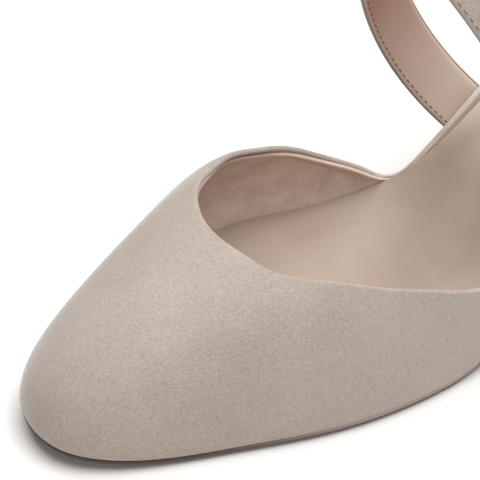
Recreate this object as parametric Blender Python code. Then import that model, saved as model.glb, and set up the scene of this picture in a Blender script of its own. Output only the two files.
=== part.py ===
# Left high heel shoe of suede: hollow upper, insole, outsole, covered heel and a buckled instep strap.
# Frame: +X to the toe, +Y to the outer (lateral) side of a left foot, +Z up, floor at z = 0.
# The tables are in millimetres: d is measured back from the toe tip, y outwards, z up from the floor.
import bmesh
import bpy
import numpy as np
from math import cos, pi, radians, sin

MM = 0.001

# Driving sizes
LENGTH = 234.0            # of the last, toe tip to heel back, on the floor plan
HEEL_RISE = 54.0          # underside of the sole at the heel breast
SEAT_SLOPE = 0.344        # rise of the heel seat for each millimetre back
TOE_SPRING = 3.5
TREAD_FRONT = 36.0        # the tread lies flat on the floor from here back
ARCH_START = 95.2         # where the sole leaves the floor on the middle line
ARCH_SKEW = 3.0           # the arch starts this much earlier inside and later outside
BALL_HALF = 39.0          # half of the ball width
BREAST = LENGTH - 46.0    # the heel begins here
SOLE_THICK = 2.4
SOLE_BEVEL = 0.8          # the sole's edge slopes in below this height
GAP = 0.3                 # clearance between pieces that touch on the real shoe
INSOLE_THICK = 2.2
WALL = 1.8                # suede, stiffener and lining together
AROUND = 44               # segments of the upper along each side
UP_WALL = 13              # segments of the upper from the feather line to the topline
END_CROWDING = 0.085      # draws the segments together round the toe and the heel
SOLE_SEGMENTS = 38        # of the outsole along each side
ACROSS = 6                # segments of the sole and the insole from side to side

# The whole shoe is centred on the origin
TOE_X = LENGTH / 2 + 0.8  # the toe tip's place on X
SIDE_SHIFT = 1.1

# One row for each section of the upper, round the shoe from the toe along the outer side, the heel
# and back along the inner side. (d, y) lies on the feather line, where the wall meets the sole.
# rise and out aim the wall as it leaves the sole. top_d and top_y are the topline's place, and side is
# its height above the feather line. reach and drop aim the wall as it arrives there: reach is a share
# of the way back to the feather line, drop is a height.
# All of it is the form of the last, the lining's side: the wall's thickness is added outwards.
SECTION_COLUMNS = ("d", "y", "rise", "out", "top_d", "top_y", "side", "reach", "drop")
SECTIONS = {
    "toe":          (1.0, 3.0, 18.0, 0.3, 52.5, 1.0, 38.9, 0.62, 13.6),
    "toe_outer":    (3.4, 12.4, 18.0, 0.0, 53.5, 6.0, 38.6, 0.60, 12.0),
    "almond_outer": (10.4, 18.8, 18.5, -0.3, 55.4, 11.5, 39.1, 0.58, 10.5),
    "box_outer":    (23.3, 24.5, 19.0, -0.4, 58.3, 18.5, 39.5, 0.56, 9.0),
    "vamp_outer":   (42.0, 30.0, 19.0, -0.3, 65.5, 25.0, 39.3, 0.55, 8.0),
    "joint_outer":  (63.0, 35.5, 18.0, -0.2, 75.0, 29.0, 36.9, 0.50, 7.0),
    "ball_outer":   (86.0, 37.6, 15.0, 0.2, 88.5, 32.4, 31.9, 0.50, 7.0),
    "side_outer":   (104.0, 36.0, 11.0, 0.5, 104.0, 34.6, 26.0, 0.45, 7.0),
    "waist_outer":  (122.0, 32.6, 7.0, 0.8, 121.5, 31.8, 13.5, 0.40, 5.0),
    "shank_outer":  (140.0, 28.6, 5.0, 0.5, 140.0, 28.2, 8.5, 0.40, 4.0),
    "rise_outer":   (158.0, 26.6, 7.0, 0.6, 159.0, 26.2, 12.7, 0.40, 8.0),
    "seat_outer":   (178.0, 26.0, 14.0, 0.8, 179.5, 25.0, 28.3, 0.40, 15.0),
    "heel_outer":   (202.0, 25.4, 18.0, 1.5, 201.0, 22.3, 43.5, 0.35, 20.0),
    "corner_outer": (225.0, 17.4, 20.0, 2.0, 221.0, 13.6, 48.6, 0.30, 22.0),
    "heel":         (LENGTH, 0.0, 20.0, 2.5, 229.5, 0.0, 48.5, 0.30, 22.0),
    "corner_inner": (225.0, -17.4, 20.0, 2.0, 221.0, -13.6, 48.6, 0.30, 22.0),
    "heel_inner":   (202.0, -25.0, 18.0, 1.5, 201.0, -21.8, 43.0, 0.35, 20.0),
    "seat_inner":   (178.0, -23.0, 14.0, 0.8, 179.5, -22.5, 27.2, 0.40, 15.0),
    "rise_inner":   (158.0, -20.4, 6.5, 0.6, 159.5, -20.6, 14.3, 0.40, 7.0),
    "shank_inner":  (143.0, -20.6, 3.0, 0.4, 144.0, -20.6, 9.4, 0.40, 3.5),
    "waist_inner":  (132.0, -22.2, 2.0, 0.3, 132.0, -22.1, 5.0, 0.40, 2.0),
    "low_inner":    (120.5, -26.0, 0.8, 0.2, 121.3, -25.8, 2.2, 0.40, 0.8),
    "dip_inner":    (113.5, -29.5, 3.0, 0.4, 115.5, -27.6, 8.7, 0.45, 2.5),
    "side_inner":   (106.0, -33.0, 6.0, 0.5, 109.5, -29.3, 15.6, 0.45, 4.0),
    "ball_inner":   (90.0, -38.5, 12.0, 0.6, 97.0, -31.0, 25.9, 0.50, 6.0),
    "joint_inner":  (70.0, -39.4, 14.5, 0.6, 84.0, -28.6, 32.8, 0.54, 3.5),
    "vamp_inner":   (48.0, -33.6, 10.5, 0.2, 73.4, -24.6, 38.3, 0.52, 2.5),
    "box_inner":    (28.0, -25.4, 9.0, 0.0, 63.6, -18.6, 41.5, 0.44, 4.5),
    "almond_inner": (13.0, -16.3, 14.5, 0.2, 56.4, -12.4, 41.2, 0.52, 11.0),
    "toe_inner":    (4.0, -7.4, 17.0, 0.4, 53.2, -5.0, 39.6, 0.60, 14.5),
}

# The strap's front edge in two curves that meet at the crown, over the instep
STRAP_WIDTH = 14.2
STRAP_THICK = 2.0
CROWN = (102.4, 2.9, 114.6)
CROWN_PITCH = 58.0        # degrees by which the strap's width leans down to the toe there
# At the foot of a leg: lean and splay turn its line forwards and outwards, pitch is the lean of the
# strap's width, and yaw turns the strap to lie along the wall. The two pulls set how far the curve
# keeps its direction at each end.
STRAP_LEG_COLUMNS = ("d", "y", "z", "lean", "splay", "pitch", "yaw", "base_pull", "crown_pull")
STRAP_LEGS = {
    "inner": (138.0, -24.5, 23.6, 39.0, 9.0, 39.0, -3.0, 55.0, 23.0),
    "outer": (139.2, 32.6, 28.8, 16.0, 0.0, 23.0, 8.0, 42.0, 27.0),
}
STRAP_STEPS = 35          # frames along each leg
TAB_STEPS = 14
STRAP_FOOT = 0.0          # shares of a leg, from its foot to the crown
TAB_TOP = 0.36
TIP_END = 0.10
LIFT_FROM = 0.60          # the strap rises off the leg's line from here, to lie over the tab
LIFT_TO = 0.42
KEEPER_PLACE = 0.20
KEEPER_WIDE = 5.0
KEEPER_THICK = 1.2
BUCKLE_WIRE = 0.9         # radius
BUCKLE_LOW = 0.385        # the bar that the tab holds, under the strap
BUCKLE_HIGH = 0.53        # the bar that lies over the strap
BUCKLE_CORNER = 2.0
CORNER_STEPS = 4
WIRE_SIDES = 8
PRONG_RADIUS = 0.7
PRONG_TAPER = 0.35
PRONG_HOLE = 0.4285
PRONG_TIP = 0.55
PRONG_STEPS = 9

# Heel: the tip is a half ellipse with a straight front
TIP_FRONT = LENGTH - 27.0
TIP_LONG = 13.0
TIP_HALF = 6.5
TOP_PIECE_HIGH = 5.5
HEEL_WAIST = 1.9          # how soon the heel slims below the seat
BREAST_HOLLOW = 3.0
HEEL_LEVELS = 12
HEEL_ROUND = 29           # points round the back of the heel
BREAST_STEPS = 9


def remove_everything():
    for item in list(bpy.data.objects):
        bpy.data.objects.remove(item, do_unlink=True)


def finish(name, hex_colour, roughness, metallic=0.0):
    shade = bpy.data.materials.new(name)
    shade.use_nodes = True
    surface = shade.node_tree.nodes["Principled BSDF"]
    channels = [int(hex_colour[k:k + 2], 16) / 255 for k in (0, 2, 4)]
    surface.inputs["Base Color"].default_value = [c ** 2.2 for c in channels] + [1.0]
    surface.inputs["Roughness"].default_value = roughness
    surface.inputs["Metallic"].default_value = metallic
    return shade


def add_solid(name, points, faces, shade):
    mesh = bpy.data.meshes.new(name)
    places = [((TOE_X - d) * MM, (y + SIDE_SHIFT) * MM, z * MM) for d, y, z in points]
    mesh.from_pydata(places, [], faces)
    shell = bmesh.new()
    shell.from_mesh(mesh)
    bmesh.ops.recalc_face_normals(shell, faces=shell.faces)
    shell.to_mesh(mesh)
    shell.free()
    mesh.materials.append(shade)
    mesh.shade_smooth()
    mesh.set_sharp_from_angle(angle=radians(40))
    solid = bpy.data.objects.new(name, mesh)
    bpy.context.scene.collection.objects.link(solid)
    return solid


def ring_faces(rows, across, closed_rows=False):
    # Quads between neighbouring rings of points; the rings are closed, the stack of them may be
    faces = []
    for i in range(rows if closed_rows else rows - 1):
        near = i * across
        far = (i + 1) % rows * across
        for j in range(across):
            k = (j + 1) % across
            faces.append((near + j, near + k, far + k, far + j))
    return faces


class LoopSpline:
    # Smooth closed curve through a table of rows, read by the distance along its first two columns
    def __init__(self, rows):
        self.rows = np.array(rows, float)
        ahead = np.roll(self.rows, -1, axis=0)
        self.step = np.hypot(*(ahead - self.rows)[:, :2].T)
        self.start = np.concatenate([[0.0], np.cumsum(self.step)])
        self.bend = self.solve_bends()

    def solve_bends(self):
        n = len(self.rows)
        system = np.zeros((n, n))
        slopes = (np.roll(self.rows, -1, axis=0) - self.rows) / self.step[:, None]
        for i in range(n):
            before, after = self.step[i - 1], self.step[i]
            system[i, i - 1] += before
            system[i, i] += 2 * (before + after)
            system[i, (i + 1) % n] += after
        return np.linalg.solve(system, 6 * (slopes - np.roll(slopes, 1, axis=0)))

    def at(self, distance):
        distance = np.mod(distance, self.start[-1])
        i = np.searchsorted(self.start, distance, side="right") - 1
        k = (i + 1) % len(self.rows)
        h = self.step[i][:, None]
        b = (distance - self.start[i])[:, None] / h
        a = 1 - b
        bends = (a ** 3 - a) * self.bend[i] + (b ** 3 - b) * self.bend[k]
        return a * self.rows[i] + b * self.rows[k] + bends * h * h / 6


names = list(SECTIONS)
sections = LoopSpline(list(SECTIONS.values()))
heel_place = sections.start[names.index("heel")]
loop_length = sections.start[-1]


def sole_under(d, y):
    # Height of the sole's underside: toe spring, flat tread, arch and sloping heel seat
    d = np.asarray(d, float)
    spring = TOE_SPRING * np.clip((TREAD_FRONT - d) / TREAD_FRONT, 0, None) ** 2
    start = ARCH_START + ARCH_SKEW * np.clip(np.asarray(y) / BALL_HALF, -1, 1)
    span = BREAST - start
    s = np.clip((d - start) / span, 0, 1)
    arch = HEEL_RISE * (3 * s ** 2 - 2 * s ** 3) + SEAT_SLOPE * span * (s ** 3 - s ** 2)
    seat = SEAT_SLOPE * np.clip(d - BREAST, 0, None)
    return spring + arch + seat


def side_places(count, end_d=None):
    # Distances along the loop, toe first, for the outer side and then for the inner side
    share = np.linspace(0, 1, count + 1)
    share = share - END_CROWDING * np.sin(2 * pi * share)
    outer_end, inner_end = heel_place, heel_place
    if end_d is not None:
        dense = np.linspace(0, loop_length, 4000)
        d = sections.at(dense)[:, 0]
        outer = dense < heel_place
        outer_end = np.interp(end_d, d[outer], dense[outer])
        inner_end = np.interp(-end_d, -d[~outer], dense[~outer])
    return share * outer_end, loop_length - share * (loop_length - inner_end)


def outward(place):
    # Unit vector out of the feather line, on the floor plan
    ahead = sections.at(place + 0.5)[:, :2] - sections.at(place - 0.5)[:, :2]
    normal = np.stack([-ahead[:, 1], ahead[:, 0]], axis=1)
    return normal / np.linalg.norm(normal, axis=1)[:, None]


def feather_height(d, y):
    return sole_under(d, y) + SOLE_THICK + GAP


def last_surface(place, climb):
    # A curve from the feather line to the topline at each place on the loop
    row = dict(zip(SECTION_COLUMNS, sections.at(place).T))
    foot = np.stack([row["d"], row["y"], feather_height(row["d"], row["y"])], axis=1)
    top = np.stack([row["top_d"], row["top_y"], foot[:, 2] + row["side"]], axis=1)
    aim = foot.copy()
    aim[:, :2] += outward(place) * row["out"][:, None]
    aim[:, 2] += row["rise"]
    arrive = top.copy()
    arrive[:, :2] += (foot - top)[:, :2] * row["reach"][:, None]
    arrive[:, 2] -= row["drop"]
    t = climb[None, :, None]
    curve = (1 - t) ** 3 * foot[:, None] + 3 * (1 - t) ** 2 * t * aim[:, None]
    return curve + 3 * (1 - t) * t ** 2 * arrive[:, None] + t ** 3 * top[:, None]


def last_normals(place, climb):
    step, rise = 0.4, 0.004
    along = last_surface(place + step, climb) - last_surface(place - step, climb)
    upward = last_surface(place, np.clip(climb + rise, 0, 1))
    upward = upward - last_surface(place, np.clip(climb - rise, 0, 1))
    normal = np.cross(upward, along)
    return normal / np.linalg.norm(normal, axis=2)[:, :, None]


def wall_faces(place, climb):
    inside = last_surface(place, climb)
    outside = inside + WALL * last_normals(place, climb)
    outside[:, 0, 2] = feather_height(outside[:, 0, 0], outside[:, 0, 1])
    return outside, inside


def inside_wall(place, lift):
    # Floor plan of the wall's inner face at a height above the feather line, less the clearance
    plan = []
    for curve in last_surface(place, np.linspace(0, 1, 60)):
        level = curve[0, 2] + lift
        plan.append([np.interp(level, curve[:, 2], curve[:, k]) for k in (0, 1)])
    return np.array(plan) - GAP * outward(place)


def build_upper(suede):
    outer_side, inner_side = side_places(AROUND)
    place = np.concatenate([outer_side, inner_side[-2:0:-1]])
    outside, inside = wall_faces(place, np.linspace(0, 1, UP_WALL + 1))
    rings = [outside[:, j] for j in range(UP_WALL + 1)]
    rings += [inside[:, j] for j in range(UP_WALL, -1, -1)]
    faces = ring_faces(len(rings), len(place), closed_rows=True)
    add_solid("upper", np.concatenate(rings), faces, suede)


def plate(name, rims, columns, shade):
    # Closed plate with a pointed toe. rims lists (outer side, inner side, height) from the underside
    # up, each side from the toe tip back; the far end is one point or a straight edge.
    points, faces, edges = [], [], []
    share = np.linspace(0, 1, columns + 1)
    pointed = np.allclose(rims[0][0][-1], rims[0][1][-1])
    end = [] if pointed else list(share[1:-1])

    def add(d, y, height):
        points.append((d, y, height(d, y)))
        return len(points) - 1

    for outer, inner, height in rims:
        ring = [add(d, y, height) for d, y in outer]
        ring += [add(*((1 - s) * outer[-1] + s * inner[-1]), height) for s in end]
        last = len(inner) - (2 if pointed else 1)
        ring += [add(d, y, height) for d, y in inner[last:0:-1]]
        edges.append(ring)
    for low, high in zip(edges, edges[1:]):
        for j in range(len(low)):
            k = (j + 1) % len(low)
            faces.append((low[j], low[k], high[k], high[j]))
    stations = len(rims[0][0])
    for edge, (outer, inner, height) in ((edges[0], rims[0]), (edges[-1], rims[-1])):
        rungs = [[edge[0]] * (columns + 1)]
        for k in range(1, stations):
            if k == stations - 1 and pointed:
                rungs.append([edge[k]] * (columns + 1))
            elif k == stations - 1:
                rungs.append(edge[k:k + columns + 1])
            else:
                middle = [add(*((1 - s) * outer[k] + s * inner[k]), height) for s in share[1:-1]]
                rungs.append([edge[k], *middle, edge[len(edge) - k]])
        for near, far in zip(rungs, rungs[1:]):
            for j in range(columns):
                corners = dict.fromkeys((near[j], far[j], far[j + 1], near[j + 1]))
                faces.append(tuple(corners))
    add_solid(name, points, faces, shade)


def inset_sides(count, inset, end_d=None):
    outer, inner = side_places(count, end_d)
    return [sections.at(p)[:, :2] - inset * outward(p) for p in (outer, inner)]


def height_above_sole(lift):
    return lambda d, y: float(sole_under(d, y)) + lift


def build_outsole(shade):
    # The edge stands a little inside the upper's outer face
    rims = []
    for inset, lift in ((1.7, 0.0), (0.7, SOLE_BEVEL), (0.6, SOLE_THICK)):
        outer, inner = inset_sides(SOLE_SEGMENTS, inset - WALL, BREAST)
        rims.append((outer, inner, height_above_sole(lift)))
    plate("outsole", rims, ACROSS, shade)


def build_insole(shade):
    rims = []
    for lift in (0.0, INSOLE_THICK):
        outer, inner = (inside_wall(place, lift) for place in side_places(AROUND))
        rims.append((outer, inner, height_above_sole(SOLE_THICK + GAP + lift)))
    plate("insole", rims, ACROSS, shade)


def heel_outlines():
    # The same round of points on the seat and on the tip: round the back, then along the breast
    outer, inner = side_places(AROUND, BREAST + GAP)
    back = np.linspace(outer[-1], inner[-1], HEEL_ROUND)
    seat = sections.at(back)[:, :2] + (WALL - GAP) * outward(back)
    angle = np.linspace(pi / 2, -pi / 2, len(back))
    tip = np.stack([TIP_FRONT + TIP_LONG * np.cos(angle), TIP_HALF * np.sin(angle)], axis=1)
    share = np.linspace(0, 1, BREAST_STEPS + 1)[1:-1, None]
    breast = seat[-1] + (seat[0] - seat[-1]) * share
    breast[:, 0] += BREAST_HOLLOW * np.sin(pi * share[:, 0])
    front = tip[-1] + (tip[0] - tip[-1]) * share
    return np.concatenate([seat, breast]), np.concatenate([tip, front])


def build_heel(suede, rubber):
    seat, tip = heel_outlines()
    seat_height = sole_under(seat[:, 0], seat[:, 1]) + SOLE_THICK
    tip_height = TOP_PIECE_HIGH + GAP
    rings = []
    for level in np.linspace(0, 1, HEEL_LEVELS + 1):
        slim = 1 - (1 - level) ** HEEL_WAIST
        plan = seat + (tip - seat) * slim
        height = seat_height + (tip_height - seat_height) * level
        rings.append(np.column_stack([plan, height]))
    stack("heel", rings, suede)
    low = np.column_stack([tip, np.zeros(len(tip))])
    high = np.column_stack([tip, np.full(len(tip), TOP_PIECE_HIGH)])
    stack("heel_top_piece", [high, low], rubber)


def stack(name, rings, shade):
    # Solid through a stack of closed rings, flat at both ends
    across = len(rings[0])
    faces = ring_faces(len(rings), across)
    faces.append(tuple(range(across)))
    faces.append(tuple(range((len(rings) - 1) * across, len(rings) * across)))
    add_solid(name, np.concatenate(rings), faces, shade)


def strap_line(leg, share):
    # Middle of the strap and the direction of its width, at a share of the leg from foot to crown
    foot = dict(zip(STRAP_LEG_COLUMNS, STRAP_LEGS[leg]))
    side = 1 if leg == "outer" else -1
    base = np.array([foot["d"], foot["y"], foot["z"]])
    crown = np.array(CROWN)
    lean, splay = radians(foot["lean"]), radians(foot["splay"])
    rise = np.array([-sin(lean) * cos(splay), side * sin(splay), cos(lean) * cos(splay)])
    low = base + foot["base_pull"] * rise
    high = crown + foot["crown_pull"] * np.array([0, side, 0])
    s = share
    point = (1 - s) ** 3 * base + 3 * (1 - s) ** 2 * s * low + 3 * (1 - s) * s ** 2 * high
    point = point + s ** 3 * crown
    pitch = radians(foot["pitch"] + (CROWN_PITCH - foot["pitch"]) * s)
    yaw = radians(foot["yaw"]) * (1 - s) ** 2
    width = np.array([cos(pitch) * cos(yaw), -side * cos(pitch) * sin(abs(yaw)), sin(pitch)])
    return point + width * STRAP_WIDTH / 2, width


def strap_frame(leg, share, lift=0.0):
    # Place, width direction and outward direction; lift moves the place outwards
    step = 0.004
    place, width = strap_line(leg, share)
    ahead = strap_line(leg, min(share + step, 1))[0] - strap_line(leg, max(share - step, 0))[0]
    out = np.cross(ahead, width)
    out = out / np.linalg.norm(out)
    if np.dot(out, (0, 1 if leg == "outer" else -1, 0.6)) < 0:
        out = -out
    settle = STRAP_THICK / 2 * share
    return place + out * (lift - settle), width, out


def sweep(name, frames, profile, shade):
    rings = []
    for place, width, out in frames:
        rings.append(np.array([place + a * width + b * out for a, b in profile]))
    stack(name, rings, shade)


def band_profile(width, thick):
    a, b = width / 2, thick / 2
    c = 0.25 * thick
    return [(-a, -b + c), (-a + c, -b), (a - c, -b), (a, -b + c),
            (a, b - c), (a - c, b), (-a + c, b), (-a, b - c)]


def strap_lift(share):
    s = np.clip((LIFT_FROM - share) / (LIFT_FROM - LIFT_TO), 0, 1)
    return (STRAP_THICK + 2 * GAP) * (3 * s ** 2 - 2 * s ** 3)


def build_strap(suede):
    frames = [strap_frame("inner", s) for s in np.linspace(STRAP_FOOT, 1, STRAP_STEPS)]
    turn = np.linspace(1, TIP_END, STRAP_STEPS)[1:]
    frames += [strap_frame("outer", s, strap_lift(s)) for s in turn]
    sweep("strap", frames, band_profile(STRAP_WIDTH, STRAP_THICK), suede)
    tab = [strap_frame("outer", s) for s in np.linspace(0, TAB_TOP, TAB_STEPS)]
    sweep("strap_tab", tab, band_profile(STRAP_WIDTH, STRAP_THICK), suede)


def build_keeper(suede):
    # Band round the tab and the strap's tip
    place, width, out = strap_frame("outer", KEEPER_PLACE, strap_lift(KEEPER_PLACE) / 2)
    along = np.cross(width, out)
    half_wide = STRAP_WIDTH / 2 + 2 * GAP
    half_high = STRAP_THICK + 4 * GAP
    rings = []
    for grow, reach in ((0, -1), (0, 1), (KEEPER_THICK, 1), (KEEPER_THICK, -1)):
        a, b = half_wide + grow, half_high + grow
        start = place + along * reach * KEEPER_WIDE / 2
        corners = ((-a, -b), (a, -b), (a, b), (-a, b))
        rings.append(np.array([start + x * width + y * out for x, y in corners]))
    faces = ring_faces(4, 4, closed_rows=True)
    add_solid("strap_keeper", np.concatenate(rings), faces, suede)


def wire_ring(centre, across, out, radius):
    turn = np.arange(WIRE_SIDES) * 2 * pi / WIRE_SIDES
    return np.array([centre + radius * (cos(a) * across + sin(a) * out) for a in turn])


def build_buckle(metal):
    over = STRAP_THICK / 2 + GAP + BUCKLE_WIRE
    low, low_width, _ = strap_frame("outer", BUCKLE_LOW)
    high, high_width, high_out = strap_frame("outer", BUCKLE_HIGH, strap_lift(BUCKLE_HIGH) + over)
    half = STRAP_WIDTH / 2 + GAP + BUCKLE_WIRE
    along = high - low
    along = along / np.linalg.norm(along)
    route = []
    for up, side in ((-1, 1), (1, 1), (1, -1), (-1, -1)):
        end, width = (low, low_width) if up < 0 else (high, high_width)
        centre = end + width * side * (half - BUCKLE_CORNER) - along * up * BUCKLE_CORNER
        for k in range(CORNER_STEPS + 1):
            turn = k if up * side < 0 else CORNER_STEPS - k
            a = turn / CORNER_STEPS * pi / 2
            reach = width * side * sin(a) + along * up * cos(a)
            route.append(centre + BUCKLE_CORNER * reach)
    route = np.array(route)
    out = np.cross(low_width, along)
    if np.dot(out, high_out) < 0:
        out = -out
    rings = []
    for k in range(len(route)):
        ahead = route[(k + 1) % len(route)] - route[k - 1]
        ahead = ahead / np.linalg.norm(ahead)
        across = np.cross(ahead, out)
        rings.append(wire_ring(route[k], across, out, BUCKLE_WIRE))
    faces = ring_faces(len(rings), WIRE_SIDES, closed_rows=True)
    add_solid("buckle_frame", np.concatenate(rings), faces, metal)
    build_prong(metal)


def build_prong(metal):
    # Pin from the strap's hole over the high bar of the frame
    lie = STRAP_THICK / 2 + GAP + PRONG_RADIUS
    over = 2 * BUCKLE_WIRE + GAP
    rings = []
    for s in np.linspace(0, 1, PRONG_STEPS):
        share = PRONG_HOLE + (PRONG_TIP - PRONG_HOLE) * s
        place, width, out = strap_frame("outer", share, strap_lift(share) + lie + over * s)
        rings.append(wire_ring(place, width, out, PRONG_RADIUS * (1 - PRONG_TAPER * s)))
    stack("buckle_prong", rings, metal)


remove_everything()
suede = finish("suede", "b9aba0", 0.95)
leather = finish("lining_leather", "b9a595", 0.55)
dark_sole = finish("dark_sole", "4a3a33", 0.5)
metal = finish("buckle_metal", "c9b48c", 0.3, 1.0)

build_upper(suede)
build_outsole(dark_sole)
build_insole(leather)
build_heel(suede, dark_sole)
build_strap(suede)
build_keeper(suede)
build_buckle(metal)
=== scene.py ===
import bmesh
import bpy
import numpy as np
from math import cos, pi, radians, sin
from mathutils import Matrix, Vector


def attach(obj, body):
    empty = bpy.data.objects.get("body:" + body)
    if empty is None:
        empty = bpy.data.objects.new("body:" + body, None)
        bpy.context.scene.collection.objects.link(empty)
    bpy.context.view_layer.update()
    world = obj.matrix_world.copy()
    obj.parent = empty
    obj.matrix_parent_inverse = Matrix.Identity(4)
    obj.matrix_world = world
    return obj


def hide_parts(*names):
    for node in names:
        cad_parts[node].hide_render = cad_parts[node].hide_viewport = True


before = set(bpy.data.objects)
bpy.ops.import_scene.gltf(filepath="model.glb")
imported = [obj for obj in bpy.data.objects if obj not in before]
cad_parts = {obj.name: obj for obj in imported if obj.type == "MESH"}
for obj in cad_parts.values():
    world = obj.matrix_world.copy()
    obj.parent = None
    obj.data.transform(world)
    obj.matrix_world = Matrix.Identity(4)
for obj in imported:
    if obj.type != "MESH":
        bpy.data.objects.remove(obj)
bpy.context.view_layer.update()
print("frame loaded:", sorted(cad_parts))

mm = 0.001

# the last, in mm: d runs back from the toe tip, y to the outer side, z up from the floor
shoe = {
    "length": 234.0, "toeX": 117.8, "sideShift": 1.1,
    "heelRise": 54.0, "seatSlope": 0.344, "toeSpring": 3.5, "treadFront": 36.0,
    "archStart": 95.2, "archSkew": 3.0, "ballHalf": 39.0, "breast": 188.0,
    "soleThick": 2.4, "gap": 0.3, "wall": 1.8, "endCrowding": 0.085,
    "fullRim": 9.0, "leastRim": 0.12,                 # the rim's sizes shrink where the wall is low
}
# one row per section round the upper, from the toe along the outer side to the heel and back;
# side is the topline's height above the feather line, the rest aims the wall between them
sectionColumns = ("d", "y", "rise", "out", "topD", "topY", "side", "reach", "drop")
sections = {
    "toe": (1.0, 3.0, 18.0, 0.3, 52.5, 1.0, 38.9, 0.62, 13.6),
    "toeOuter": (3.4, 12.4, 18.0, 0.0, 53.5, 6.0, 38.6, 0.60, 12.0),
    "almondOuter": (10.4, 18.8, 18.5, -0.3, 55.4, 11.5, 39.1, 0.58, 10.5),
    "boxOuter": (23.3, 24.5, 19.0, -0.4, 58.3, 18.5, 39.5, 0.56, 9.0),
    "vampOuter": (42.0, 30.0, 19.0, -0.3, 65.5, 25.0, 39.3, 0.55, 8.0),
    "jointOuter": (63.0, 35.5, 18.0, -0.2, 75.0, 29.0, 36.9, 0.50, 7.0),
    "ballOuter": (86.0, 37.6, 15.0, 0.2, 88.5, 32.4, 31.9, 0.50, 7.0),
    "sideOuter": (104.0, 36.0, 11.0, 0.5, 104.0, 34.6, 26.0, 0.45, 7.0),
    "waistOuter": (122.0, 32.6, 7.0, 0.8, 121.5, 31.8, 13.5, 0.40, 5.0),
    "shankOuter": (140.0, 28.6, 5.0, 0.5, 140.0, 28.2, 8.5, 0.40, 4.0),
    "riseOuter": (158.0, 26.6, 7.0, 0.6, 159.0, 26.2, 12.7, 0.40, 8.0),
    "seatOuter": (178.0, 26.0, 14.0, 0.8, 179.5, 25.0, 28.3, 0.40, 15.0),
    "heelOuter": (202.0, 25.4, 18.0, 1.5, 201.0, 22.3, 43.5, 0.35, 20.0),
    "cornerOuter": (225.0, 17.4, 20.0, 2.0, 221.0, 13.6, 48.6, 0.30, 22.0),
    "heel": (234.0, 0.0, 20.0, 2.5, 229.5, 0.0, 48.5, 0.30, 22.0),
    "cornerInner": (225.0, -17.4, 20.0, 2.0, 221.0, -13.6, 48.6, 0.30, 22.0),
    "heelInner": (202.0, -25.0, 18.0, 1.5, 201.0, -21.8, 43.0, 0.35, 20.0),
    "seatInner": (178.0, -23.0, 14.0, 0.8, 179.5, -22.5, 27.2, 0.40, 15.0),
    "riseInner": (158.0, -20.4, 6.5, 0.6, 159.5, -20.6, 14.3, 0.40, 7.0),
    "shankInner": (143.0, -20.6, 3.0, 0.4, 144.0, -20.6, 9.4, 0.40, 3.5),
    "waistInner": (132.0, -22.2, 2.0, 0.3, 132.0, -22.1, 5.0, 0.40, 2.0),
    "lowInner": (120.5, -26.0, 0.8, 0.2, 121.3, -25.8, 2.2, 0.40, 0.8),
    "dipInner": (113.5, -29.5, 3.0, 0.4, 115.5, -27.6, 8.7, 0.45, 2.5),
    "sideInner": (106.0, -33.0, 6.0, 0.5, 109.5, -29.3, 15.6, 0.45, 4.0),
    "ballInner": (90.0, -38.5, 12.0, 0.6, 97.0, -31.0, 25.9, 0.50, 6.0),
    "jointInner": (70.0, -39.4, 14.5, 0.6, 84.0, -28.6, 32.8, 0.54, 3.5),
    "vampInner": (48.0, -33.6, 10.5, 0.2, 73.4, -24.6, 38.3, 0.52, 2.5),
    "boxInner": (28.0, -25.4, 9.0, 0.0, 63.6, -18.6, 41.5, 0.44, 4.5),
    "almondInner": (13.0, -16.3, 14.5, 0.2, 56.4, -12.4, 41.2, 0.52, 11.0),
    "toeInner": (4.0, -7.4, 17.0, 0.4, 53.2, -5.0, 39.6, 0.60, 14.5),
}


class LoopCurve:
    # smooth closed curve through the table, read by the distance along its first two columns
    def __init__(self, rows):
        self.rows = np.array(rows, float)
        ahead = np.roll(self.rows, -1, axis=0)
        self.step = np.hypot(*(ahead - self.rows)[:, :2].T)
        self.start = np.concatenate([[0.0], np.cumsum(self.step)])
        count = len(self.rows)
        system = np.zeros((count, count))
        slopes = (ahead - self.rows) / self.step[:, None]
        for i in range(count):
            system[i, i - 1] += self.step[i - 1]
            system[i, i] += 2 * (self.step[i - 1] + self.step[i])
            system[i, (i + 1) % count] += self.step[i]
        self.bend = np.linalg.solve(system, 6 * (slopes - np.roll(slopes, 1, axis=0)))

    def at(self, distance):
        distance = np.mod(distance, self.start[-1])
        i = np.searchsorted(self.start, distance, side="right") - 1
        k = (i + 1) % len(self.rows)
        h = self.step[i][:, None]
        b = (distance - self.start[i])[:, None] / h
        a = 1 - b
        bends = (a ** 3 - a) * self.bend[i] + (b ** 3 - b) * self.bend[k]
        return a * self.rows[i] + b * self.rows[k] + bends * h * h / 6


loop = LoopCurve(list(sections.values()))
loopLength = loop.start[-1]
heelPlace = loop.start[list(sections).index("heel")]


def soleUnder(d, y):
    # toe spring, flat tread, arch and sloping heel seat
    d = np.asarray(d, float)
    spring = shoe["toeSpring"] * np.clip((shoe["treadFront"] - d) / shoe["treadFront"], 0, None) ** 2
    start = shoe["archStart"] + shoe["archSkew"] * np.clip(np.asarray(y) / shoe["ballHalf"], -1, 1)
    span = shoe["breast"] - start
    s = np.clip((d - start) / span, 0, 1)
    arch = shoe["heelRise"] * (3 * s ** 2 - 2 * s ** 3) + shoe["seatSlope"] * span * (s ** 3 - s ** 2)
    return spring + arch + shoe["seatSlope"] * np.clip(d - shoe["breast"], 0, None)


def featherHeight(d, y):
    return soleUnder(d, y) + shoe["soleThick"] + shoe["gap"]


def outward(place, step=0.5):
    ahead = loop.at(place + step)[:, :2] - loop.at(place - step)[:, :2]
    normal = np.stack([-ahead[:, 1], ahead[:, 0]], axis=1)
    return normal / np.linalg.norm(normal, axis=1)[:, None]


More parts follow.
